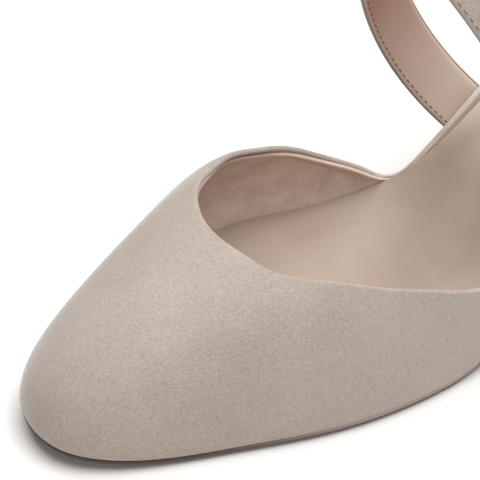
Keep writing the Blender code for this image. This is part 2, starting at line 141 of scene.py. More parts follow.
def sidePlaces(count, endD=None, samples=4000):
    # distances along the loop from the toe, for the outer side and for the inner side
    share = np.linspace(0, 1, count + 1)
    share = share - shoe["endCrowding"] * np.sin(2 * pi * share)
    outerEnd = innerEnd = heelPlace
    if endD is not None:
        dense = np.linspace(0, loopLength, samples)
        d = loop.at(dense)[:, 0]
        outer = dense < heelPlace
        outerEnd = np.interp(endD, d[outer], dense[outer])
        innerEnd = np.interp(-endD, -d[~outer], dense[~outer])
    return share * outerEnd, loopLength - share * (loopLength - innerEnd)


def lastSurface(place, climb):
    # a curve from the feather line to the topline at each place on the loop
    row = dict(zip(sectionColumns, loop.at(place).T))
    foot = np.stack([row["d"], row["y"], featherHeight(row["d"], row["y"])], axis=1)
    top = np.stack([row["topD"], row["topY"], foot[:, 2] + row["side"]], axis=1)
    aim = foot.copy()
    aim[:, :2] += outward(place) * row["out"][:, None]
    aim[:, 2] += row["rise"]
    arrive = top.copy()
    arrive[:, :2] += (foot - top)[:, :2] * row["reach"][:, None]
    arrive[:, 2] -= row["drop"]
    t = climb[None, :, None]
    curve = (1 - t) ** 3 * foot[:, None] + 3 * (1 - t) ** 2 * t * aim[:, None]
    return curve + 3 * (1 - t) * t ** 2 * arrive[:, None] + t ** 3 * top[:, None]


class Wall:
    # the upper's wall, read by the distance below its topline and the depth out of the lining's face
    def __init__(self, aroundSide, samples=161, step=0.4, rise=0.004):
        outer, inner = sidePlaces(aroundSide)
        self.place = np.concatenate([outer, inner[-2:0:-1]])
        climb = np.linspace(0, 1, samples)
        self.points = lastSurface(self.place, climb)
        along = lastSurface(self.place + step, climb) - lastSurface(self.place - step, climb)
        upward = lastSurface(self.place, np.clip(climb + rise, 0, 1))
        upward = upward - lastSurface(self.place, np.clip(climb - rise, 0, 1))
        normal = np.cross(upward, along)
        self.normal = normal / np.linalg.norm(normal, axis=2)[:, :, None]
        lengths = np.linalg.norm(np.diff(self.points, axis=1), axis=2)
        self.arc = np.concatenate([np.zeros((len(self.place), 1)), np.cumsum(lengths, axis=1)], axis=1)
        self.high = self.arc[:, -1]
        self.rim = np.clip(self.high / shoe["fullRim"], shoe["leastRim"], 1)

    def at(self, down, depth):
        spots = np.empty(down.shape + (3,))
        for i in range(len(self.place)):
            level = self.high[i] - down[i]
            for k in range(3):
                surface = np.interp(level, self.arc[i], self.points[i, :, k])
                slant = np.interp(level, self.arc[i], self.normal[i, :, k])
                spots[i, :, k] = surface + depth[i] * slant
        floor = np.isclose(down, self.high[:, None])
        level = featherHeight(spots[..., 0], spots[..., 1])
        spots[..., 2] = np.where(floor, level, spots[..., 2])
        return spots


def smoothStep(value, low, high):
    share = np.clip((value - low) / (high - low), 0, 1)
    return share * share * (3 - 2 * share)


def inMetres(spot):
    d, y, z = spot
    return (shoe["toeX"] - d) * mm, (y + shoe["sideShift"]) * mm, z * mm


def ringFaces(rings, across, closedStack=False):
    faces = []
    for i in range(rings if closedStack else rings - 1):
        near, far = i * across, (i + 1) % rings * across
        for j in range(across):
            k = (j + 1) % across
            faces.append((near + j, near + k, far + k, far + j))
    return faces


def smoothMesh(mesh, smoothAngle):
    mesh.shade_smooth()
    mesh.set_sharp_from_angle(angle=radians(smoothAngle))


def linked(name, data):
    made = bpy.data.objects.new(name, data)
    bpy.context.scene.collection.objects.link(made)
    return made


def addPiece(name, points, faces, materials, nodes, slotName, faceSlots=None, smoothAngle=45, **tints):
    # a piece from points in the last's mm; tints are named values per point that the materials read
    mesh = bpy.data.meshes.new(name)
    mesh.from_pydata([inMetres(spot) for spot in points], [], faces)
    for material in materials:
        mesh.materials.append(material)
    if faceSlots is not None:
        mesh.polygons.foreach_set("material_index", faceSlots)
    for label, values in tints.items():
        mesh.attributes.new(label, "FLOAT", "POINT").data.foreach_set("value", values)
    shell = bmesh.new()
    shell.from_mesh(mesh)
    bmesh.ops.recalc_face_normals(shell, faces=shell.faces)
    shell.to_mesh(mesh)
    shell.free()
    smoothMesh(mesh, smoothAngle)
    piece = linked(name, mesh)
    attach(piece, "root")
    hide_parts(*nodes)
    return piece


# materials: colours are sRGB hex values, sizes and depths are in mm
def srgb(hexColour):
    channels = [int(hexColour[k:k + 2], 16) / 255 for k in (0, 2, 4)]
    return [c / 12.92 if c <= 0.04045 else ((c + 0.055) / 1.055) ** 2.4 for c in channels] + [1.0]


def addNode(tree, kind, settings=None, inputs=None):
    # one node with its settings; an input is a value, or another node's output to link
    made = tree.nodes.new(kind)
    for key, value in (settings or {}).items():
        setattr(made, key, value)
    for key, value in (inputs or {}).items():
        if isinstance(value, bpy.types.NodeSocket):
            tree.links.new(value, made.inputs[key])
        else:
            made.inputs[key].default_value = value
    return made


def perMm(size):
    # noise scale for features of this size in mm, on object coordinates in metres
    return 1 / (size * mm)


def startMaterial(name):
    material = bpy.data.materials.new(name)
    material.use_nodes = True
    tree = material.node_tree
    return material, tree, tree.nodes["Principled BSDF"], addNode(tree, "ShaderNodeTexCoord")


def setSockets(surface, values):
    for key, value in values.items():
        surface.inputs[key].default_value = value


def twoTone(tree, value, look):
    # from the look's dark to its light colour, by a value stretched over its contrast
    low, high = look["contrast"]
    spread = addNode(tree, "ShaderNodeMapRange", None, {"Value": value, "From Min": low, "From Max": high})
    return addNode(tree, "ShaderNodeMix", {"data_type": "RGBA"}, {
        0: spread.outputs["Result"], 6: srgb(look["dark"]), 7: srgb(look["light"])}).outputs[2]


def tinted(tree, colour, label, hexColour):
    # another colour where the piece's points carry the value of this name
    amount = addNode(tree, "ShaderNodeAttribute", {"attribute_name": label})
    return addNode(tree, "ShaderNodeMix", {"data_type": "RGBA"}, {
        0: amount.outputs["Fac"], 6: colour, 7: srgb(hexColour)}).outputs[2]


def finishSurface(tree, surface, colour, height, bump, values):
    # the colour, a bump given by its strength and its depth in mm, and the other sockets
    strength, depth = bump
    raised = addNode(tree, "ShaderNodeBump", None, {
        "Height": height, "Strength": strength, "Distance": depth * mm})
    tree.links.new(colour, surface.inputs["Base Color"])
    tree.links.new(raised.outputs["Normal"], surface.inputs["Normal"])
    setSockets(surface, values)


# the groove colour is painted shade in the recess just above the lining's edge; the rim colour is painted
# light on the quarters' rolled edge
suedeLook = {
    "light": "c5b8ad", "dark": "a99b91", "grooveShade": "bb9c8c", "rim": "e8ddd2", "sheen": "eef1f2",
    "grain": 0.33, "clump": 1.4, "brushed": 17.0,     # the real nap is finer: it is drawn this coarse to show
    "strokeLong": 2.2, "strokeTurn": -30.0,           # strokes of the nap run across the toe
    "grainShare": 0.7, "clumpShare": 0.14, "brushedShare": 0.16, "contrast": (0.36, 0.64),
    "bump": (0.6, 0.12),
}


def makeSuede():
    # brushed goat suede: a short nap that scatters light, paler at grazing angles, mottled by the brush
    look = suedeLook
    material, tree, surface, coord = startMaterial("brushedSuede")
    spot = coord.outputs["Object"]
    stretched = addNode(tree, "ShaderNodeMapping", {"vector_type": "TEXTURE"}, {
        "Vector": spot, "Rotation": (0, 0, radians(look["strokeTurn"])),
        "Scale": (look["strokeLong"], 1.0, 1.0)})
    grain = addNode(tree, "ShaderNodeTexNoise", None, {
        "Vector": stretched.outputs["Vector"], "Scale": perMm(look["grain"]),
        "Detail": 3.0, "Roughness": 0.62})
    clump = addNode(tree, "ShaderNodeTexNoise", None, {
        "Vector": spot, "Scale": perMm(look["clump"]), "Detail": 2.0})
    brushed = addNode(tree, "ShaderNodeTexNoise", None, {
        "Vector": spot, "Scale": perMm(look["brushed"]), "Detail": 2.0, "Distortion": 0.6})
    tone = None
    for source, share in ((grain, "grainShare"), (clump, "clumpShare"), (brushed, "brushedShare")):
        inputs = {0: source.outputs["Fac"], 1: look[share], 2: 0.0 if tone is None else tone}
        tone = addNode(tree, "ShaderNodeMath", {"operation": "MULTIPLY_ADD"}, inputs).outputs[0]
    # painted light on the quarters' rolled rim and painted shade in the groove, where the points carry these
    # values
    edged = tinted(tree, twoTone(tree, tone, look), "rolled", look["rim"])
    colour = tinted(tree, edged, "shade", look["grooveShade"])
    finishSurface(tree, surface, colour, grain.outputs["Fac"], look["bump"], {
        "Roughness": 0.95, "IOR": 1.45, "Specular IOR Level": 0.12, "Diffuse Roughness": 0.0,
        "Sheen Weight": 0.7, "Sheen Roughness": 0.4, "Sheen Tint": srgb(look["sheen"])})
    return material


# the edge colour is partly the raw cut edge's own paler tone and partly a painted highlight where the
# lining's lip catches light
liningLook = {
    "light": "f6e8de", "dark": "dac8bc", "edge": "dfc8bb", "fleck": 0.55, "patch": 9.0,
    "fleckShare": 0.55, "patchShare": 0.45, "contrast": (0.40, 0.62), "bump": (0.4, 0.12),
}


def makeLining():
    # split-leather lining with a raised fibre: matt, brownish, with pale flecks
    look = liningLook
    material, tree, surface, coord = startMaterial("splitLeatherLining")
    spot = coord.outputs["Object"]
    fleck = addNode(tree, "ShaderNodeTexNoise", None, {
        "Vector": spot, "Scale": perMm(look["fleck"]), "Detail": 4.0, "Roughness": 0.7})
    patch = addNode(tree, "ShaderNodeTexNoise", None, {
        "Vector": spot, "Scale": perMm(look["patch"]), "Detail": 2.0, "Distortion": 0.8})
    flecked = addNode(tree, "ShaderNodeMath", {"operation": "MULTIPLY"}, {
        0: fleck.outputs["Fac"], 1: look["fleckShare"]})
    tone = addNode(tree, "ShaderNodeMath", {"operation": "MULTIPLY_ADD"}, {
        0: patch.outputs["Fac"], 1: look["patchShare"], 2: flecked.outputs[0]})
    # the cut edge's own tone together with a painted highlight on the lip
    colour = tinted(tree, twoTone(tree, tone.outputs[0], look), "cutEdge", look["edge"])
    finishSurface(tree, surface, colour, fleck.outputs["Fac"], look["bump"], {
        "Roughness": 0.85, "IOR": 1.45, "Specular IOR Level": 0.2, "Sheen Weight": 0.1})
    return material


# painted light and shade: the colour that a piece's points take by their own value of this name, paler on the
# sock's turn-up and the quarters' inside, darker on the strap lining toward the crown
leatherLook = {
    "light": "b5a497", "dark": "aa978a", "blend": "ead9cd", "cloud": 26.0, "pore": 0.35,
    "contrast": (0.35, 0.65), "bump": (0.25, 0.02), "roughness": 0.5,
}
# the strap lining's base is made very pale as painted light for its lower legs, which lie in shade; its blend
# colour is painted shade toward the crown
strapLook = {**leatherLook, "light": "f1e0d3", "dark": "ecdacd", "blend": "b8907f"}


def makeLeather(name, look):
    # smooth dyed sheepskin: even colour with faint clouds, satin gloss, pores too fine to see one by one
    material, tree, surface, coord = startMaterial(name)
    spot = coord.outputs["Object"]
    cloud = addNode(tree, "ShaderNodeTexNoise", None, {
        "Vector": spot, "Scale": perMm(look["cloud"]), "Detail": 3.0})
    pore = addNode(tree, "ShaderNodeTexVoronoi", None, {"Vector": spot, "Scale": perMm(look["pore"])})
    # painted light and shade: each point's own value mixes in the look's colour for it
    colour = tinted(tree, twoTone(tree, cloud.outputs["Fac"], look), "blend", look["blend"])
    finishSurface(tree, surface, colour, pore.outputs["Distance"], look["bump"], {
        "Roughness": look["roughness"], "IOR": 1.5, "Specular IOR Level": 0.35})
    return material


def makePlain(name, light, dark, grain, roughness, metallic=0.0, bump=(0.3, 0.02), edge=None):
    # one finish with a fine grain: moulded rubber, edge paint, sewing thread or polished plate;
    # a piece with pale points is stained with the edge colour there
    material, tree, surface, coord = startMaterial(name)
    speckle = addNode(tree, "ShaderNodeTexNoise", None, {
        "Vector": coord.outputs["Object"], "Scale": perMm(grain), "Detail": 3.0})
    colour = addNode(tree, "ShaderNodeMix", {"data_type": "RGBA"}, {
        0: speckle.outputs["Fac"], 6: srgb(dark), 7: srgb(light)}).outputs[2]
    if edge:
        colour = tinted(tree, colour, "pale", edge)
    finishSurface(tree, surface, colour, speckle.outputs["Fac"], bump, {
        "Roughness": roughness, "Metallic": metallic})
    return material


suede = makeSuede()
lining = makeLining()
insoleLeather = makeLeather("sheepskinSock", leatherLook)
strapLeather = makeLeather("sheepskinStrapLining", strapLook)
edgePaint = makePlain("edgePaint", "b0a298", "9b8c81", grain=0.8, roughness=0.6)
thread = makePlain("polyesterThread", "7a5546", "634335", grain=0.3, roughness=0.7)
soleRubber = makePlain("brownSoleRubber", "5a453b", "44332b", grain=0.6, roughness=0.55, bump=(0.3, 0.05),
                       edge="c4b5a9")
# painted shade: dark plugs stand for the shaded insides of the punched holes
holeShade = makePlain("paintedHoleShade", "4a3a32", "3a2c26", grain=0.4, roughness=0.8)
tipPlastic = makePlain("darkTipPolyurethane", "3c3430", "2e2724", grain=0.5, roughness=0.5, bump=(0.3, 0.05))
paleGold = makePlain("paleGoldPlate", "d8c49c", "cbb68d", grain=0.2, roughness=0.22, metallic=1.0,
                     bump=(0.3, 0.004))
print("materials made")


# upper: the vamp's suede folds over the topline and the lining stops below the fold, behind a groove;
# the quarters have a thicker rolled edge, with smooth leather up to it
upperPiece = {
    "aroundSide": 220, "upWall": 44, "innerRows": 22, "foldSteps": 13, "tuckHigh": 2.0, "tuckIn": 0.5,
    "vampFoldInner": 0.35, "vampFoldDrop": 0.6, "quarterFoldInner": 0.05, "quarterFoldDrop": 1.9,
    "lowFoldGrow": 1.6, "lowFoldLeast": 0.5, "settleFrom": 0.6, "settleTo": 1.6,
    "quarterFrom": 112.0, "quarterTo": 126.0,         # where the quarter's edge takes over, as d
    # the groove's painted shade: how far above the lining's edge it reaches, where along the loop it fades
    # out, and only on the suede's inner face
    "grooveShadeHigh": 0.5, "grooveShadeFrom": 114.0, "grooveShadeTo": 98.0, "grooveShadeSkin": 0.02,
    # painted light on the quarters' rolled edge: how strong it is, and how far down the fold it reaches
    "rimLightAmount": 0.85, "rimLightFull": 1.2, "rimLightEnd": 2.2,
}
liningPiece = {
    "gapPlaces": (55.0, 63.0, 74.0, 110.0), "gaps": (0.55, 0.95, 1.9, 0.5), "quarterGap": 0.75,
    "thick": 0.5, "rows": 40, "backRows": 14, "smoothFrom": 119.0,
    # the pale band under the lining's edge, which is the cut edge's own tone and a painted highlight: its
    # height at the front and at the side, and where along the loop it changes
    "frontEdgeHigh": 2.2, "sideEdgeHigh": 3.6, "edgeFrom": 63.0, "edgeTo": 110.0, "edgeFull": 0.5,
    # painted light on the quarters' smooth inside: how much paler it is, and how far down from the top
    "insideLightAmount": 0.9, "paleTo": 14.0,
    "lip": ((2.6, 0.0), (1.8, -0.22), (1.1, -0.46), (0.6, -0.6), (0.25, -0.56), (0.07, -0.36),
            (0.0, -0.06), (0.02, 0.16), (0.1, 0.36), (0.3, 0.5)),     # below the gap, and depth
}
wall = Wall(upperPiece["aroundSide"])
topD = wall.points[:, -1:, 0]
quarterShare = smoothStep(topD, upperPiece["quarterFrom"], upperPiece["quarterTo"])


def vampToQuarter(vamp, quarter):
    return vamp + (quarter - vamp) * quarterShare


def liningGap():
    # how far the lining's edge lies below the topline: most beside the throat, least at its front and end
    size = liningPiece
    return vampToQuarter(np.interp(topD, size["gapPlaces"], size["gaps"]), size["quarterGap"])


def stackRows(parts):
    # joins (down, depth) columns, each given for every place, into one profile per place
    both = []
    for k in (0, 1):
        shaped = [np.broadcast_to(part[k], (len(wall.place), part[k].shape[-1])) for part in parts]
        both.append(np.concatenate(shaped, axis=1))
    return both


def wallShell(down, depth):
    spots = wall.at(down, depth)
    rings = [spots[:, j] for j in range(spots.shape[1])]
    return np.concatenate(rings), ringFaces(len(rings), len(wall.place), closedStack=True)


def buildUpper():
    size = upperPiece
    high, rim = wall.high[:, None], wall.rim[:, None]
    foldInner = vampToQuarter(size["vampFoldInner"], size["quarterFoldInner"])
    foldDrop = rim * vampToQuarter(size["vampFoldDrop"], size["quarterFoldDrop"])
    grown = np.clip(rim * size["lowFoldGrow"], size["lowFoldLeast"], 1)
    foldInner = shoe["wall"] - (shoe["wall"] - foldInner) * grown
    radius = (shoe["wall"] - foldInner) / 2
    u = np.linspace(0, 1, size["upWall"])[None, :]
    faceDown = high - (high - foldDrop) * u
    above = np.clip((high - faceDown) / size["tuckHigh"], 0, 1)
    faceDepth = shoe["wall"] - size["tuckIn"] * (1 - above) ** 2
    turn = np.linspace(0, pi, size["foldSteps"])[None, 1:-1]
    foldDown = foldDrop * (1 - np.sin(turn))
    foldDepth = foldInner + radius + radius * np.cos(turn)
    v = np.linspace(0, 1, size["innerRows"])[None, :] ** 2
    backDown = foldDrop + (high - foldDrop) * v
    inside = np.maximum(foldInner, size["vampFoldInner"])
    settled = smoothStep(backDown / rim, size["settleFrom"], size["settleTo"])
    backDepth = foldInner + (inside - foldInner) * settled
    down, depth = stackRows([(faceDown, faceDepth), (foldDown, foldDepth), (backDown, backDepth)])
    gap = liningGap()
    # painted shade: the suede's inner face darkens toward the groove colour just above the lining's edge,
    # fading out toward the quarters
    dark = smoothStep(down / rim, gap - size["grooveShadeHigh"], gap)
    dark = dark * smoothStep(topD, size["grooveShadeFrom"], size["grooveShadeTo"])
    dark = np.where(depth < foldInner + size["grooveShadeSkin"], dark, 0)
    # painted light: the quarters' rolled edge is paler, lifting it where it lies in shade
    rolled = smoothStep(down, size["rimLightEnd"] * foldDrop, size["rimLightFull"] * foldDrop)
    rolled = rolled * quarterShare * size["rimLightAmount"]
    points, faces = wallShell(down, depth)
    addPiece("upper_suede", points, faces, [suede], ["upper"], "suede",
             shade=dark.T.ravel(), rolled=rolled.T.ravel())


def buildLining():
    size = liningPiece
    high, rim = wall.high[:, None], wall.rim[:, None]
    gap = liningGap()
    lip = np.array(size["lip"])
    lipDown = (gap + lip[None, :, 0]) * rim
    lipDepth = lip[None, :, 1] * (1 - quarterShare * (lip[None, :, 1] < 0))
    u = np.linspace(0, 1, size["rows"])[None, :-1]
    faceDown = high - (high - lipDown[:, :1]) * u
    v = np.linspace(0, 1, size["backRows"])[None, 1:]
    backDown = lipDown[:, -1:] + (high - lipDown[:, -1:]) * v
    down, depth = stackRows([(faceDown, np.zeros_like(u)), (lipDown, lipDepth),
                             (backDown, np.full_like(v, size["thick"]))])
    # the band below the lining's edge takes the edge colour, partly the cut edge's own tone and partly a
    # painted highlight; none on the quarters
    along = np.clip((topD - size["edgeFrom"]) / (size["edgeTo"] - size["edgeFrom"]), 0, 1)
    edgeHigh = size["frontEdgeHigh"] + (size["sideEdgeHigh"] - size["frontEdgeHigh"]) * along ** 3
    cut = smoothStep(down / rim - gap, edgeHigh, size["edgeFull"] * edgeHigh) * (1 - quarterShare)
    points, faces = wallShell(down, depth)
    smooth = points[:, 0] > size["smoothFrom"]
    slots = [1 if all(smooth[list(face)]) else 0 for face in faces]
    # painted light: the quarters' smooth inside is paler toward the top, where it lies in shade under the rim
    pale = size["insideLightAmount"] * quarterShare * smoothStep(down, size["paleTo"], 0.0)
    addPiece("upper_lining", points, faces, [lining, insoleLeather], ["upper"], "lining_leather", slots,
             cutEdge=cut.T.ravel(), blend=pale.T.ravel())


buildUpper()
buildLining()
print("upper and lining made")


def buildPlate(name, rims, columns, material, nodes, slotName, tint):
    # closed plate; rims lists (outer side, inner side, height) from the underside up, toe tip first
    points, faces, edges = [], [], []
    share = np.linspace(0, 1, columns + 1)
    pointed = np.allclose(rims[0][0][-1], rims[0][1][-1], atol=1e-3)
    end = [] if pointed else list(share[1:-1])

    def add(d, y, height, across=0.0):
        points.append((d, y, height(d, y, across)))
        return len(points) - 1

    def between(outerSpot, innerSpot, height, s):
        return add(*((1 - s) * outerSpot + s * innerSpot), height, min(s, 1 - s))

    for outer, inner, height in rims:
        ring = [add(d, y, height) for d, y in outer]
        ring += [between(outer[-1], inner[-1], height, s) for s in end]
        last = len(inner) - (2 if pointed else 1)
        ring += [add(d, y, height) for d, y in inner[last:0:-1]]
        edges.append(ring)
    for low, high in zip(edges, edges[1:]):
        for j in range(len(low)):
            k = (j + 1) % len(low)
            faces.append((low[j], low[k], high[k], high[j]))
    stations = len(rims[0][0])
    for edge, (outer, inner, height) in ((edges[0], rims[0]), (edges[-1], rims[-1])):
        rungs = [[edge[0]] * (columns + 1)]
        for k in range(1, stations):
            if k == stations - 1 and pointed:
                rungs.append([edge[k]] * (columns + 1))
            elif k == stations - 1:
                rungs.append(edge[k:k + columns + 1])
            else:
                middle = [between(outer[k], inner[k], height, s) for s in share[1:-1]]
                rungs.append([edge[k], *middle, edge[len(edge) - k]])
        for near, far in zip(rungs, rungs[1:]):
            for j in range(columns):
                faces.append(tuple(dict.fromkeys((near[j], far[j], far[j + 1], near[j + 1]))))
    addPiece(name, points, faces, [material], nodes, slotName, **tint(np.array(points)))


# insole: a smooth sock that turns up a little where it meets the lining
insolePiece = {
    "stations": 150, "columns": 36, "wallSteps": 90, "thick": 2.2, "clearance": 0.04,
    "cup": 6.0, "cupFrom": 124.0, "cupTo": 158.0, "cupWide": 0.24,
    # painted light: how much paler the sock is at the seat and on its turn-up, and the share of the turn-up's
    # height at which it is full
    "seatLightAmount": 0.3, "turnUpLightAmount": 0.9, "turnFull": 0.7,
    # from the underside up: below the top, inset, and share of the turn-up
    "edge": ((2.2, 0.0, 0.0), (0.35, 0.0, 0.8), (0.105, 0.105, 0.93), (0.0, 0.35, 1.0)),
}


def insideWall(place, lift, clearance):
    plan = []
    for curve in lastSurface(place, np.linspace(0, 1, insolePiece["wallSteps"])):
        level = curve[0, 2] + lift
        plan.append([np.interp(level, curve[:, 2], curve[:, k]) for k in (0, 1)])
    return np.array(plan) - clearance * outward(place)


def paintedLightOnTurnUp(points):
    # painted light: a little paler at the seat, most where the sock turns up, where it lies in the strap's
    # and the wall's shade
    size = insolePiece
    lift = points[:, 2] - featherHeight(points[:, 0], points[:, 1]) - size["thick"]
    seat = size["seatLightAmount"] * smoothStep(points[:, 0], size["cupFrom"], size["cupTo"])
    turnUp = size["turnUpLightAmount"] * smoothStep(lift, 0.0, size["turnFull"] * size["cup"])
    return {"blend": np.maximum(seat, turnUp)}


def buildInsole():
    size = insolePiece

    def height(lift, crown):
        def level(d, y, across):
            grow = np.clip((d - size["cupFrom"]) / (size["cupTo"] - size["cupFrom"]), 0, 1)
            turnUp = size["cup"] * grow * (1 - min(across / size["cupWide"], 1)) ** 2
            return float(featherHeight(d, y)) + lift + crown * turnUp
        return level

    rims = []
    for below, inset, crown in size["edge"]:
        lift = size["thick"] - below
        outer, inner = (insideWall(p, lift, size["clearance"] + inset) for p in sidePlaces(size["stations"]))
        rims.append((outer, inner, height(lift, crown)))
    buildPlate("insole_sock", rims, size["columns"], insoleLeather, ["insole"], "lining_leather", paintedLightOnTurnUp)


# outsole: thin dark edge, rounded above and below
solePiece = {
    "stations": 130, "columns": 16,
    "paleFrom": 25.0, "paleTo": 85.0, "paleLow": 1.4, "paleHigh": 1.75,
    # inset from the upper's outer face, and height
    "edge": ((2.6, 0.0), (1.9, 0.3), (1.05, 0.85), (0.72, 1.15), (0.6, 1.5), (0.6, 2.05), (0.8, 2.38)),
}


def stainedEdge(points):
    # pale above its lowest part, more so away from the toe
    size = solePiece
    lift = points[:, 2] - soleUnder(points[:, 0], points[:, 1])
    along = smoothStep(points[:, 0], size["paleFrom"], size["paleTo"])
    return {"pale": along * smoothStep(lift, size["paleLow"], size["paleHigh"])}


def buildOutsole():
    size = solePiece
    rims = []
    for inset, lift in size["edge"]:
        outer, inner = (loop.at(p)[:, :2] - (inset - shoe["wall"]) * outward(p)
                        for p in sidePlaces(size["stations"], shoe["breast"]))
        rims.append((outer, inner, lambda d, y, across, lift=lift: float(soleUnder(d, y)) + lift))
    buildPlate("outsole_edge", rims, size["columns"], soleRubber, ["outsole"], "dark_sole", stainedEdge)


buildInsole()
buildOutsole()
print("insole and sole made")


def buildStack(name, rings, materials, nodes, slotName, faceSlots=None, **finish):
    # rings joined one after the other, with a cap on each end
    across = len(rings[0])
    faces = ringFaces(len(rings), across)
    faces += [tuple(range(across)), tuple(range((len(rings) - 1) * across, len(rings) * across))]
    if faceSlots is not None:
        faceSlots = list(faceSlots) * (len(rings) - 1) + [0, 0]
    addPiece(name, np.concatenate(rings), faces, materials, nodes, slotName, faceSlots, **finish)


# heel: covered block that slims from the seat to the tip
heelPiece = {
    "tipFront": 207.0, "tipLong": 13.0, "tipHalf": 6.5, "tipHigh": 5.5, "waist": 1.9, "hollow": 3.0,
    "levels": 40, "around": 61, "breastSteps": 20, "seatSteps": 44,
    "tipEdge": ((5.5, 0.5), (5.2, 0.1), (4.9, 0.0), (0.7, 0.0), (0.25, 0.15), (0.0, 0.5)),  # height, inset
}


def heelOutlines():
    size = heelPiece
    outer, inner = sidePlaces(size["seatSteps"], shoe["breast"] + shoe["gap"])
    back = np.linspace(outer[-1], inner[-1], size["around"])
    seat = loop.at(back)[:, :2] + (shoe["wall"] - shoe["gap"]) * outward(back)
    angle = np.linspace(pi / 2, -pi / 2, len(back))
    tipD = size["tipFront"] + size["tipLong"] * np.cos(angle)
    tip = np.column_stack([tipD, size["tipHalf"] * np.sin(angle)])
    share = np.linspace(0, 1, size["breastSteps"] + 1)[1:-1, None]
    breast = seat[-1] + (seat[0] - seat[-1]) * share
    breast[:, 0] += size["hollow"] * np.sin(pi * share[:, 0])
    front = tip[-1] + (tip[0] - tip[-1]) * share
    return np.concatenate([seat, breast]), np.concatenate([tip, front])


def buildHeel():
    size = heelPiece
    seat, tip = heelOutlines()
    seatHeight = soleUnder(seat[:, 0], seat[:, 1]) + shoe["soleThick"]
    tipHeight = size["tipHigh"] + shoe["gap"]
    rings = []
    for level in np.linspace(0, 1, size["levels"] + 1):
        slim = 1 - (1 - level) ** size["waist"]
        plan = seat + (tip - seat) * slim
        rings.append(np.column_stack([plan, seatHeight + (tipHeight - seatHeight) * level]))
    buildStack("heel_cover", rings, [suede], ["heel"], "suede")
    middle = tip.mean(axis=0)
    layers = []
    for height, inset in size["tipEdge"]:
        plan = middle + (tip - middle) * (1 - inset / size["tipHalf"])
        layers.append(np.column_stack([plan, np.full(len(plan), height)]))
    buildStack("heel_tip", layers, [tipPlastic], ["heel_top_piece"], "dark_sole")


buildHeel()
print("heel made")

# strap: suede outside, smooth lining inside, painted edges, one row of stitches along the front edge
strapPiece = {
    "width": 14.2, "thick": 2.0, "crown": (102.4, 2.9, 114.6), "crownPitch": 58.0,
    "inner": {"d": 138.0, "y": -24.5, "z": 23.6, "lean": 39.0, "splay": 9.0, "pitch": 39.0, "yaw": -3.0,
              "basePull": 55.0, "crownPull": 23.0},
    "outer": {"d": 139.2, "y": 32.6, "z": 28.8, "lean": 16.0, "splay": 0.0, "pitch": 23.0, "yaw": 8.0,
              "basePull": 42.0, "crownPull": 27.0},
    "steps": 130, "tabSteps": 60, "tabTop": 0.36, "tipEnd": 0.10, "tipTaper": 0.045, "tipNarrow": 0.93,
    "liftFrom": 0.60, "liftTo": 0.42,                 # where the tip climbs onto the tab
    # the rounded rim of the band: how far from the edge, how far below the face
    "rim": ((1.5, 0.0), (1.1, 0.05), (0.75, 0.15), (0.5, 0.25), (0.12, 0.47), (0.0, 0.67)),
    "flatSteps": 9, "smoothAngle": 60, "paintWide": 0.45,
    # painted shade along the strap lining: where it starts and where it is full on the inner leg, how much of
    # it is kept at the edges, and the painted highlight strips along the edges
    "crownShadeFrom": 0.08, "crownShadeTo": 0.38, "edgeShadeShare": 0.45, "paleFrom": 0.52, "paleTo": 1.3,
}


def strapLine(leg, share):
    # a leg of the strap from its sewn end to the crown: the middle of the band, and its width direction
    size = strapPiece
    foot = size[leg]
    side = 1 if leg == "outer" else -1
    base = np.array([foot["d"], foot["y"], foot["z"]])
    crown = np.array(size["crown"])
    lean, splay = radians(foot["lean"]), radians(foot["splay"])
    rise = np.array([-sin(lean) * cos(splay), side * sin(splay), cos(lean) * cos(splay)])
    low = base + foot["basePull"] * rise
    high = crown + foot["crownPull"] * np.array([0, side, 0])
    s = share
    point = (1 - s) ** 3 * base + 3 * (1 - s) ** 2 * s * low + 3 * (1 - s) * s ** 2 * high + s ** 3 * crown
    pitch = radians(foot["pitch"] + (size["crownPitch"] - foot["pitch"]) * s)
    yaw = radians(foot["yaw"]) * (1 - s) ** 2
    width = np.array([cos(pitch) * cos(yaw), -side * cos(pitch) * sin(abs(yaw)), sin(pitch)])
    return point + width * size["width"] / 2, width


def strapFrame(leg, share, lift=0.0, step=0.004):
    # place, width direction (to the heel) and outward direction
    place, width = strapLine(leg, share)
    ahead = strapLine(leg, min(share + step, 1))[0] - strapLine(leg, max(share - step, 0))[0]
    out = np.cross(ahead, width)
    out = out / np.linalg.norm(out)
    away = (0, 1 if leg == "outer" else -1, 0.6)      # roughly out of the shoe on this side
    if np.dot(out, away) < 0:
        out = -out
    return place + out * (lift - strapPiece["thick"] / 2 * share), width, out


def strapLift(share):
    size = strapPiece
    return (size["thick"] + 2 * shoe["gap"]) * smoothStep(share, size["liftFrom"], size["liftTo"])


def bandProfile():
    # across the strap: thick in the middle, thinner at the edges; with a material for each stretch
    size = strapPiece
    half, thick = size["width"] / 2, size["thick"] / 2
    rim = [(half - inset, thick - drop) for inset, drop in size["rim"]]
    flat = [(a, thick) for a in np.linspace(-rim[0][0], rim[0][0], size["flatSteps"])[1:-1]]
    outerRow = [(-a, b) for a, b in rim[::-1]] + flat + rim
    innerRow = [(a, -b) for a, b in outerRow[::-1]]
    profile = outerRow + innerRow
    slots = []
    for j, (a, b) in enumerate(profile):
        nextA, nextB = profile[(j + 1) % len(profile)]
        midA, midB = abs(a + nextA) / 2, (b + nextB) / 2
        slots.append(2 if midA > half - size["paintWide"] else 0 if midB > 0 else 1)
    return profile, slots


